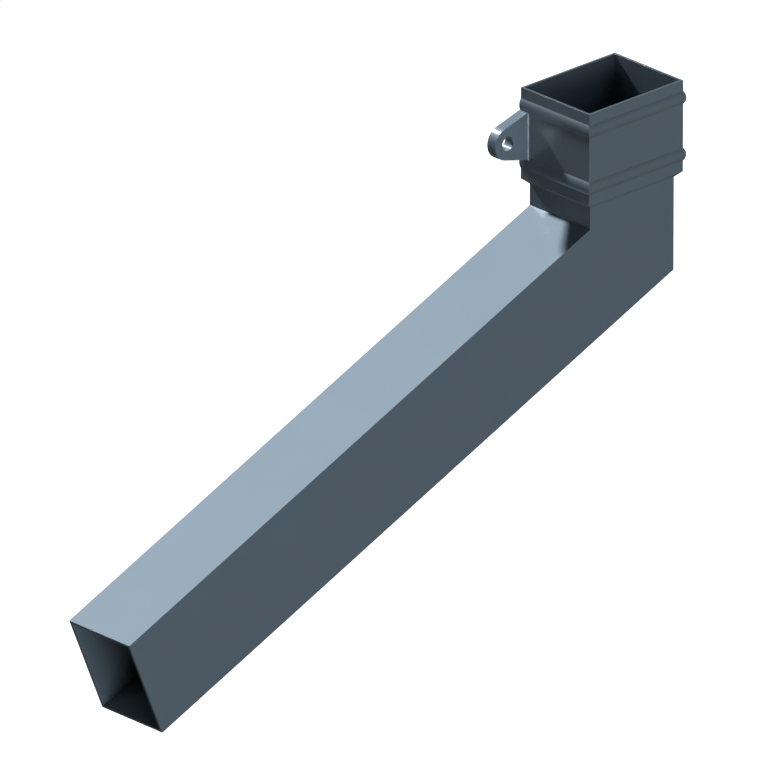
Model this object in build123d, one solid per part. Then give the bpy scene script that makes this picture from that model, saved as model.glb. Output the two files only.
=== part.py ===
from build123d import *
import math
import os

# Elbow for rectangular metal downpipe, made as one piece. A socket with two fixing ears stands
# upright against the wall and takes the pipe from above. A mitre below it turns the water into
# a long leg that falls away sideways, and whose plain end enters the next socket.
# Sizes are in millimetres. X runs along the wall, +Y points into the wall and +Z points up.

# Downpipe that the elbow joins, outside
PIPE_WIDTH = 100.0
PIPE_DEPTH = 75.0
WALL = 2.5

# Leg: its fall below level in degrees, and its centreline from the mitre to the cut end
LEG_SLOPE = 22.5
LEG_LENGTH = 622.0

# Socket, with the straight neck and the sloping shoulder that carry it above the mitre
NECK_HEIGHT = 20.0
SHOULDER_HEIGHT = 5.0
SHOULDER_LIFT = 1.2  # how far the inside slope starts above the outside one
SOCKET_LENGTH = 85.0
SOCKET_SIDE_GAP = 3.5  # free space at each narrow side of the pipe that is pushed in
SOCKET_FACE_GAP = 2.5  # free space at its front and at its back

# Two half-round beads round the front and sides of the socket. Its back is flat for the wall.
BEAD_WIDTH = 12.0
BEAD_HEIGHT = 2.0
BEAD_INSET = 16.0  # from each end of the straight socket to the middle of a bead

# Fixing ears, level with the middle of the socket and flush with its back
EAR_REACH = 25.0  # from the socket's side to the middle of the hole
EAR_ROOT_HEIGHT = 45.0
EAR_TIP_RADIUS = 15.0
EAR_THICKNESS = 10.0
EAR_HOLE_DIAMETER = 13.0
EAR_ROOT_FILLET = 2.0

# How far a cut runs past the open end that it makes, and how near counts as touching
CUT_MARGIN = 20.0
TOUCHING = 0.001

# Worked out from the sizes above. Heights are counted from the throat, the inside corner of
# the mitre, and X and Y from the centreline of the upright pipe.
socket_width = PIPE_WIDTH + 2 * (SOCKET_SIDE_GAP + WALL)
socket_depth = PIPE_DEPTH + 2 * (SOCKET_FACE_GAP + WALL)
socket_start = NECK_HEIGHT + SHOULDER_HEIGHT
rim_height = socket_start + SOCKET_LENGTH
ear_height = socket_start + SOCKET_LENGTH / 2
bead_heights = [socket_start + BEAD_INSET, rim_height - BEAD_INSET]
wall_plane = socket_depth / 2
leg_direction = Vector(-math.cos(math.radians(LEG_SLOPE)), -math.sin(math.radians(LEG_SLOPE)))
mitre_angle = math.radians((90 - LEG_SLOPE) / 2)


def mitre_point(x):
    """Point of the mitre line, seen from the front, at x from the upright centreline."""
    return Vector(x, -(x + PIPE_WIDTH / 2) * math.tan(mitre_angle))


def stepped_sides(pipe_half, socket_half, lift, top):
    """Right-hand corners of neck, shoulder and socket, from the bottom up."""
    return [
        Vector(pipe_half, NECK_HEIGHT + lift),
        Vector(socket_half, socket_start + lift),
        Vector(socket_half, top),
    ]


def mirrored(points):
    """The same corners on the left, from the top down."""
    return [Vector(-point.X, point.Y) for point in reversed(points)]


def front_profile(inset, lift, overrun):
    """Whole elbow seen from the front, each side set in by inset and open ends run over."""
    pipe_half = PIPE_WIDTH / 2 - inset
    right = stepped_sides(pipe_half, socket_width / 2 - inset, lift, rim_height + overrun)
    end = mitre_point(0) + leg_direction * (LEG_LENGTH + overrun)
    across = leg_direction.rotate(Axis.Z, -90) * pipe_half
    leg = [mitre_point(-pipe_half), end + across, end - across, mitre_point(pipe_half)]
    return make_face(Polyline(*right, *mirrored(right), *leg, close=True))


def side_profile(inset, lift, overrun):
    """Depth of the elbow seen from the side, down past the lowest point of the leg."""
    pipe_half = PIPE_DEPTH / 2 - inset
    right = stepped_sides(pipe_half, socket_depth / 2 - inset, lift, rim_height + overrun)
    bottom = -(LEG_LENGTH + PIPE_WIDTH + overrun)
    feet = [Vector(-pipe_half, bottom), Vector(pipe_half, bottom)]
    return make_face(Polyline(*right, *mirrored(right), *feet, close=True))


def bead_bump(face, outward, height):
    """Section of a bead that stands out of a straight side at the given height."""
    low = Vector(face, height - BEAD_WIDTH / 2)
    crest = Vector(face + outward * BEAD_HEIGHT, height)
    high = Vector(face, height + BEAD_WIDTH / 2)
    return make_face([ThreePointArc(low, crest, high), Line(high, low)])


def crossed(front, side):
    """Solid that has one outline from the front and the other from the side."""
    from_front = extrude(Plane.XZ * front, amount=socket_depth, both=True)
    from_side = extrude(Plane.YZ * side, amount=LEG_LENGTH + 2 * PIPE_WIDTH, both=True)
    return from_front & from_side


def elbow_skin():
    """Outside of the pipe, socket and beads. The beads mitre where the two outlines cross."""
    front = front_profile(0, 0, 0)
    side = side_profile(0, 0, 0)
    for height in bead_heights:
        front += bead_bump(socket_width / 2, 1, height)
        front += bead_bump(-socket_width / 2, -1, height)
        side += bead_bump(-socket_depth / 2, -1, height)
    return crossed(front, side)


def elbow_bore():
    """Water way, open at the rim and at the end of the leg."""
    front = front_profile(WALL, SHOULDER_LIFT, CUT_MARGIN)
    side = side_profile(WALL, SHOULDER_LIFT, CUT_MARGIN)
    return crossed(front, side)


def hole_places():
    """Middle of each ear hole on the wall plane."""
    hole_x = socket_width / 2 + EAR_REACH
    return [Pos(side * hole_x, wall_plane, ear_height) for side in (-1, 1)]


def ear_outline():
    """Right-hand ear from the front: straight edges from its root that touch a round tip."""
    half_root = EAR_ROOT_HEIGHT / 2
    corner_angle = math.pi - math.atan2(half_root, EAR_REACH)
    corner_distance = math.hypot(half_root, EAR_REACH)
    touch_angle = corner_angle - math.acos(EAR_TIP_RADIUS / corner_distance)
    touch = Vector(math.cos(touch_angle), math.sin(touch_angle)) * EAR_TIP_RADIUS
    upper = [touch, Vector(-EAR_REACH, half_root), Vector(-EAR_REACH - WALL, half_root)]
    lower = [Vector(point.X, -point.Y) for point in reversed(upper)]
    sides = Polyline(*upper, *lower)
    tip = ThreePointArc(lower[-1], Vector(EAR_TIP_RADIUS, 0), upper[0])
    return Pos(socket_width / 2 + EAR_REACH, ear_height) * make_face([*sides.edges(), tip])


def ears():
    """Both ears, with their backs on the wall plane."""
    right = extrude(Plane.XZ.offset(-wall_plane) * ear_outline(), amount=EAR_THICKNESS)
    return [right, mirror(right, about=Plane.YZ)]


def is_ear_root(edge):
    """Whether an edge is where the front, top or bottom of an ear meets the socket's side."""
    middle = edge.center()
    on_side = abs(abs(middle.X) - socket_width / 2) < TOUCHING
    on_ear = abs(middle.Z - ear_height) < EAR_ROOT_HEIGHT / 2 + TOUCHING
    off_back = wall_plane - EAR_THICKNESS - TOUCHING < middle.Y < wall_plane - TOUCHING
    return on_side and on_ear and off_back


def eared_socket():
    """Plain socket block with its ears, and a fillet round the root of each ear."""
    block = Pos(0, 0, ear_height) * Box(socket_width, socket_depth, SOCKET_LENGTH)
    block += ears()
    return fillet(block.edges().filter_by(is_ear_root), EAR_ROOT_FILLET)


elbow = elbow_skin() + eared_socket() - elbow_bore()
for place in hole_places():
    bolt_hole = Cylinder(EAR_HOLE_DIAMETER / 2, 2 * EAR_THICKNESS + CUT_MARGIN)
    elbow -= place * Rot(90, 0, 0) * bolt_hole

# The origin moves to the wall plane, midway between the two bolt holes
elbow = Pos(0, -wall_plane, -ear_height) * elbow
elbow = elbow.solid()
elbow.label = "downpipe_elbow"

os.makedirs("parts", exist_ok=True)
export_step(elbow, "parts/downpipe_elbow.step")
print("volume", round(elbow.volume), "mm3, box", elbow.bounding_box())
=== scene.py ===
"""Dresses the packed downpipe elbow in its satin metallic powder coat.

The stage is a plain white studio with the photograph's camera. Everything is in metres in the part's own
frame: the wall is the plane y = 0, +X runs along it and +Z is up.
"""

import math

import bpy
from mathutils import Matrix, Vector


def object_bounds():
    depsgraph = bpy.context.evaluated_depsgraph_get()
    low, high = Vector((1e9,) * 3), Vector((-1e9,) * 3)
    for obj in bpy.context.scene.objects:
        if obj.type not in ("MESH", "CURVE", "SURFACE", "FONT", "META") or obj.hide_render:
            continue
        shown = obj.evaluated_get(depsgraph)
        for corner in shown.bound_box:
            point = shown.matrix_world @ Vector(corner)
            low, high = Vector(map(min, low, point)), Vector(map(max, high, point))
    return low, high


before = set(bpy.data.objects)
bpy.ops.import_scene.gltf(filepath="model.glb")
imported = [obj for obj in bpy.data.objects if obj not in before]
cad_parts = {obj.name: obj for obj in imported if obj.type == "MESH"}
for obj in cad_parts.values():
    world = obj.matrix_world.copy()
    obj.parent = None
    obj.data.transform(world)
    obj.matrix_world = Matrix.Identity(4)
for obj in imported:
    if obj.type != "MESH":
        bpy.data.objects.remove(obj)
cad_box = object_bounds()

WHITE = (1, 1, 1, 1)

# Camera: a very long lens, because the photograph shows almost no perspective. Its angles are in degrees,
# and the aim is moved a little in the picture's own plane.
CAMERA_AZIMUTH = -43.62
CAMERA_ELEVATION = 23.37
CAMERA_LENS = 1500
CAMERA_SENSOR = 36
CAMERA_DISTANCE = 27.4137
CAMERA_AIM = Vector((-0.25, -0.0425, -0.1675))
AIM_RIGHT = -0.006372
AIM_UP = 0.003257
CAMERA_REACH = 100

# Light: a small key from above and behind, a wide fill from the front and a little below, and a weaker
# one from the right. Each direction points from the part to its lamp, and each angle is in degrees.
KEY_TOWARDS = Vector((-0.1, 0.735, 0.655))
KEY_STRENGTH = 4.1
KEY_ANGLE = 5.5
FRONT_TOWARDS = Vector((-0.24, -0.93, -0.18))
FRONT_STRENGTH = 1.685
FRONT_ANGLE = 56
RIGHT_TOWARDS = Vector((1.0, 0.1, 0.2))
RIGHT_STRENGTH = 1.0
RIGHT_ANGLE = 30
STUDIO_WHITE = 1.0
STUDIO_FILL = 0.1

# Floor: far enough below for the shadow to fall outside the picture, as in the photograph.
FLOOR_DROP = 1.1
FLOOR_SIZE = 6
FLOOR_COLOUR = (0.8, 0.8, 0.8, 1)
FLOOR_GLOW = 0.6

# Tent: dark and open at the top, it keeps the white studio out of the coat's sides, as when bare metal is
# photographed. Its elevations are in degrees, seen from its centre.
TENT_CENTRE = Vector((-0.25, -0.04, -0.17))
TENT_RADIUS = 1.2
TENT_FOOT_ELEVATION = -89
TENT_RIM_ELEVATION = 85
TENT_GLOW = 0.04
TENT_RINGS = 24
TENT_SIDES = 48

# Coat: metallic powder under its own clear film, with flecks, slow changes of tone and gloss, and a fine
# orange peel. As the noise goes from low to high, tone and roughness go from their first value to their
# second.
COAT_DARK = (0.165, 0.228, 0.285, 1)
COAT_LIGHT = (0.175, 0.24, 0.301, 1)
COAT_METALLIC = 0.55
ROUGH_LOW = 0.62
ROUGH_HIGH = 0.64
FILM_WEIGHT = 1.0
FILM_ROUGHNESS = 0.2
FILM_IOR = 1.75
NOISE_LOW = 0.3
NOISE_HIGH = 0.7
FLECK_SIZE = 0.0008
FLECK_DETAIL = 0
FLECK_SHARE = 0.5
CLOUD_SIZE = 0.07
CLOUD_DETAIL = 3
PEEL_SIZE = 0.0022
PEEL_DETAIL = 1
PEEL_HEIGHT = 0.000004

# Edges: rounded, and slightly lighter where the rounded normal leaves the face's own. The two limits are
# cosines of the angle between those normals.
COAT_EDGE = (0.194, 0.264, 0.327, 1)
EDGE_RADIUS = 0.0002
EDGE_FLAT = 0.999
EDGE_SHARP = 0.93

# Inside of the pipe: painted shade. Deep inside the pipe, where little of the outside is seen, the coat's
# colour is darkened to a near-black that stands in for the shade there.
DEEP_PAINTED_SHADE = (0.01, 0.014, 0.018, 1)
DEEP_SHADE_REACH = 0.4
OUTSIDE_SEEN_UNSHADED = 0.25
OUTSIDE_SEEN_FULL_SHADE = 0.13
OUTSIDE_SAMPLES = 8

# Socket's rim: the highest face of the part. It is given a darker tone, a painted shade that dims the
# light it catches.
RIM_PAINTED_SHADE = (0.15, 0.204, 0.252, 1)
RIM_SKIN = 0.0003


def new_material(name):
    """A material with an empty node tree and its output."""
    material = bpy.data.materials.new(name)
    material.use_nodes = True
    nodes = material.node_tree.nodes
    nodes.clear()
    return material, nodes, material.node_tree.links, nodes.new("ShaderNodeOutputMaterial")


def seen_directly(nodes, links):
    """1 for camera, glossy and transmission rays, so that the background is the same in all three."""
    path = nodes.new("ShaderNodeLightPath")
    total = path.outputs["Is Camera Ray"]
    for kind in ("Is Glossy Ray", "Is Transmission Ray"):
        highest = nodes.new("ShaderNodeMath")
        highest.operation = "MAXIMUM"
        links.new(total, highest.inputs[0])
        links.new(path.outputs[kind], highest.inputs[1])
        total = highest.outputs[0]
    return total


def make_camera():
    """The photograph's view. Back points from the aim to the camera."""
    azimuth = math.radians(CAMERA_AZIMUTH)
    elevation = math.radians(CAMERA_ELEVATION)
    back = Vector((
        math.sin(azimuth) * math.cos(elevation),
        -math.cos(azimuth) * math.cos(elevation),
        math.sin(elevation),
    ))
    right = Vector((math.cos(azimuth), math.sin(azimuth), 0))
    up = back.cross(right)
    aim = CAMERA_AIM + AIM_RIGHT * right + AIM_UP * up
    camera = bpy.data.objects.new("camera", bpy.data.cameras.new("camera"))
    bpy.context.scene.collection.objects.link(camera)
    camera.data.lens = CAMERA_LENS
    camera.data.sensor_width = CAMERA_SENSOR
    camera.data.clip_end = CAMERA_REACH
    turn = (-back).to_track_quat("-Z", "Y").to_matrix().to_4x4()
    camera.matrix_world = Matrix.Translation(aim + CAMERA_DISTANCE * back) @ turn
    bpy.context.scene.camera = camera


def make_lamp(name, towards, strength, angle):
    """A distant lamp: parallel light from one side, with shadows as soft as its angle in degrees."""
    lamp = bpy.data.objects.new(name, bpy.data.lights.new(name, "SUN"))
    bpy.context.scene.collection.objects.link(lamp)
    lamp.data.energy = strength
    lamp.data.angle = math.radians(angle)
    lamp.data.cycles.use_multiple_importance_sampling = False
    lamp.rotation_mode = "QUATERNION"
    lamp.rotation_quaternion = towards.to_track_quat("Z", "Y")


def make_world():
    """White where it is seen or mirrored, and a weaker even fill for everything else."""
    world = bpy.data.worlds.new("studio")
    bpy.context.scene.world = world
    world.use_nodes = True
    nodes, links = world.node_tree.nodes, world.node_tree.links
    fill = nodes["Background"]
    fill.inputs["Color"].default_value = WHITE
    fill.inputs["Strength"].default_value = STUDIO_FILL
    white = nodes.new("ShaderNodeBackground")
    white.inputs["Color"].default_value = WHITE
    white.inputs["Strength"].default_value = STUDIO_WHITE
    mix = nodes.new("ShaderNodeMixShader")
    links.new(seen_directly(nodes, links), mix.inputs["Fac"])
    links.new(fill.outputs[0], mix.inputs[1])
    links.new(white.outputs[0], mix.inputs[2])
    links.new(mix.outputs[0], nodes["World Output"].inputs["Surface"])
    world.cycles.sampling_method = "NONE"


def stage_mesh(name, corners, faces, material):
    """An object that belongs to the stage and casts no shadow, so that low lamps shine through it."""
    mesh = bpy.data.meshes.new(name)
    mesh.from_pydata(corners, [], faces)
    mesh.materials.append(material)
    thing = bpy.data.objects.new(name, mesh)
    bpy.context.scene.collection.objects.link(thing)
    thing.visible_shadow = False
    return thing


def make_floor():
    """A pale floor that also glows for direct looks, so that it is white in the picture."""
    material, nodes, links, output = new_material("floor_paint")
    paint = nodes.new("ShaderNodeBsdfDiffuse")
    paint.inputs["Color"].default_value = FLOOR_COLOUR
    glow = nodes.new("ShaderNodeEmission")
    glow.inputs["Color"].default_value = WHITE
    strength = nodes.new("ShaderNodeMath")
    strength.operation = "MULTIPLY"
    strength.inputs[1].default_value = FLOOR_GLOW
    links.new(seen_directly(nodes, links), strength.inputs[0])
    links.new(strength.outputs[0], glow.inputs["Strength"])
    both = nodes.new("ShaderNodeAddShader")
    links.new(paint.outputs[0], both.inputs[0])
    links.new(glow.outputs[0], both.inputs[1])
    links.new(both.outputs[0], output.inputs["Surface"])
    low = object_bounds()[0].z - FLOOR_DROP
    half = FLOOR_SIZE / 2
    corners = [(-half, -half, low), (half, -half, low), (half, half, low), (-half, half, low)]
    stage_mesh("floor", corners, [(0, 1, 2, 3)], material)


def tent_corners():
    """Points of the bowl, ring by ring from its foot to its rim."""
    corners = []
    for ring in range(TENT_RINGS):
        share = ring / (TENT_RINGS - 1)
        climb = TENT_RIM_ELEVATION - TENT_FOOT_ELEVATION
        elevation = math.radians(TENT_FOOT_ELEVATION + share * climb)
        for side in range(TENT_SIDES):
            turn = 2 * math.pi * side / TENT_SIDES
            across = math.cos(elevation)
            out = Vector((across * math.cos(turn), across * math.sin(turn), math.sin(elevation)))
            corners.append(TENT_CENTRE + TENT_RADIUS * out)
    return corners


def tent_faces():
    """Four-sided faces between each ring of the bowl and the next."""
    faces = []
    for ring in range(TENT_RINGS - 1):
        for side in range(TENT_SIDES):
            here = ring * TENT_SIDES + side
            beside = ring * TENT_SIDES + (side + 1) % TENT_SIDES
            faces.append((here, beside, beside + TENT_SIDES, here + TENT_SIDES))
    return faces


def make_tent():
    """A bowl under and around the object. The camera and the lamps look in through it."""
    material, nodes, links, output = new_material("tent_cloth")
    cloth = nodes.new("ShaderNodeEmission")
    cloth.inputs["Color"].default_value = WHITE
    cloth.inputs["Strength"].default_value = TENT_GLOW
    links.new(cloth.outputs[0], output.inputs["Surface"])
    tent = stage_mesh("dark_tent", tent_corners(), tent_faces(), material)
    tent.visible_camera = False


def noise(nodes, links, place, size, detail):
    """Noise between 0 and 1 whose patches are about size metres wide."""
    texture = nodes.new("ShaderNodeTexNoise")
    texture.inputs["Scale"].default_value = 1 / size
    texture.inputs["Detail"].default_value = detail
    links.new(place, texture.inputs["Vector"])
    return texture.outputs["Fac"]


def in_range(nodes, links, value, bottom, top, low, high):
    """The value, moved from the range bottom to top into the range low to high."""
    span = nodes.new("ShaderNodeMapRange")
    links.new(value, span.inputs["Value"])
    for name, number in (("From Min", bottom), ("From Max", top), ("To Min", low), ("To Max", high)):
        span.inputs[name].default_value = number
    return span.outputs["Result"]


def blend(nodes, links, share, first, second):
    """Mix of two colours, each one a plain colour or an output."""
    mix = nodes.new("ShaderNodeMix")
    mix.data_type = "RGBA"
    links.new(share, mix.inputs["Factor"])
    for socket, colour in ((mix.inputs["A"], first), (mix.inputs["B"], second)):
        if isinstance(colour, tuple):
            socket.default_value = colour
        else:
            links.new(colour, socket)
    return mix.outputs["Result"]


def tone_share(nodes, links, place, cloud):
    """0 where the coat has its dark tone and 1 where it has its light one, from clouds and flecks."""
    fleck = noise(nodes, links, place, FLECK_SIZE, FLECK_DETAIL)
    tone = nodes.new("ShaderNodeMix")
    tone.inputs["Factor"].default_value = FLECK_SHARE
    links.new(cloud, tone.inputs["A"])
    links.new(fleck, tone.inputs["B"])
    return in_range(nodes, links, tone.outputs["Result"], NOISE_LOW, NOISE_HIGH, 0, 1)


def edge_share(nodes, links, rounded_normal):
    """1 on the edges and 0 on the faces, where the rounded normal is the face's own."""
    facing = nodes.new("ShaderNodeVectorMath")
    facing.operation = "DOT_PRODUCT"
    links.new(rounded_normal, facing.inputs[0])
    links.new(nodes.new("ShaderNodeNewGeometry").outputs["Normal"], facing.inputs[1])
    return in_range(nodes, links, facing.outputs["Value"], EDGE_SHARP, EDGE_FLAT, 1, 0)


def deep_shade_share(nodes, links):
    """0 in the open and 1 deep inside the pipe, where the painted shade is darkest."""
    seen = nodes.new("ShaderNodeAmbientOcclusion")
    seen.samples = OUTSIDE_SAMPLES
    seen.only_local = True
    seen.inputs["Distance"].default_value = DEEP_SHADE_REACH
    return in_range(nodes, links, seen.outputs["AO"], OUTSIDE_SEEN_FULL_SHADE, OUTSIDE_SEEN_UNSHADED, 1, 0)


def rim_shade_share(nodes, links, place):
    """1 on the socket's rim, where the painted shade goes, and 0 below it."""
    split = nodes.new("ShaderNodeSeparateXYZ")
    links.new(place, split.inputs["Vector"])
    above = nodes.new("ShaderNodeMath")
    above.operation = "GREATER_THAN"
    above.inputs[1].default_value = cad_box[1].z - RIM_SKIN
    links.new(split.outputs["Z"], above.inputs[0])
    return above.outputs["Value"]


def coat_colour(nodes, links, place, cloud, rounded_normal):
    """Colour of the powder, then of the edges, of the painted shade deep inside and of the painted shade
    on the rim.
    """
    colour = blend(nodes, links, tone_share(nodes, links, place, cloud), COAT_DARK, COAT_LIGHT)
    colour = blend(nodes, links, edge_share(nodes, links, rounded_normal), colour, COAT_EDGE)
    # Painted shade: deep inside the pipe the coat's colour is darkened.
    colour = blend(nodes, links, deep_shade_share(nodes, links), colour, DEEP_PAINTED_SHADE)
    # Painted shade: the rim's top face is given a darker tone.
    return blend(nodes, links, rim_shade_share(nodes, links, place), colour, RIM_PAINTED_SHADE)


def peeled_normal(nodes, links, place, rounded_normal):
    """The rounded normal, rippled by the orange peel."""
    bump = nodes.new("ShaderNodeBump")
    bump.inputs["Distance"].default_value = PEEL_HEIGHT
    links.new(noise(nodes, links, place, PEEL_SIZE, PEEL_DETAIL), bump.inputs["Height"])
    links.new(rounded_normal, bump.inputs["Normal"])
    return bump.outputs["Normal"]


def coat_material():
    """Metallic powder coat of the whole elbow."""
    material, nodes, links, output = new_material("metallic_powder_coat")
    place = nodes.new("ShaderNodeTexCoord").outputs["Object"]
    cloud = noise(nodes, links, place, CLOUD_SIZE, CLOUD_DETAIL)
    rounded = nodes.new("ShaderNodeBevel")
    rounded.inputs["Radius"].default_value = EDGE_RADIUS
    colour = coat_colour(nodes, links, place, cloud, rounded.outputs["Normal"])
    roughness = in_range(nodes, links, cloud, NOISE_LOW, NOISE_HIGH, ROUGH_LOW, ROUGH_HIGH)
    normal = peeled_normal(nodes, links, place, rounded.outputs["Normal"])

    coat = nodes.new("ShaderNodeBsdfPrincipled")
    coat.inputs["Metallic"].default_value = COAT_METALLIC
    coat.inputs["Coat Weight"].default_value = FILM_WEIGHT
    coat.inputs["Coat Roughness"].default_value = FILM_ROUGHNESS
    coat.inputs["Coat IOR"].default_value = FILM_IOR
    links.new(colour, coat.inputs["Base Color"])
    links.new(roughness, coat.inputs["Roughness"])
    links.new(normal, coat.inputs["Normal"])
    links.new(normal, coat.inputs["Coat Normal"])
    links.new(coat.outputs["BSDF"], output.inputs["Surface"])
    return material


def dress_elbow():
    """The CAD elbow keeps its own mesh and gets the coat."""
    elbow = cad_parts["downpipe_elbow"]
    elbow.data.materials.clear()
    elbow.data.materials.append(coat_material())


bpy.context.scene.view_settings.view_transform = "Standard"
make_camera()
make_lamp("key", KEY_TOWARDS, KEY_STRENGTH, KEY_ANGLE)
make_lamp("front_fill", FRONT_TOWARDS, FRONT_STRENGTH, FRONT_ANGLE)
make_lamp("right_fill", RIGHT_TOWARDS, RIGHT_STRENGTH, RIGHT_ANGLE)
make_world()
make_floor()
make_tent()
dress_elbow()
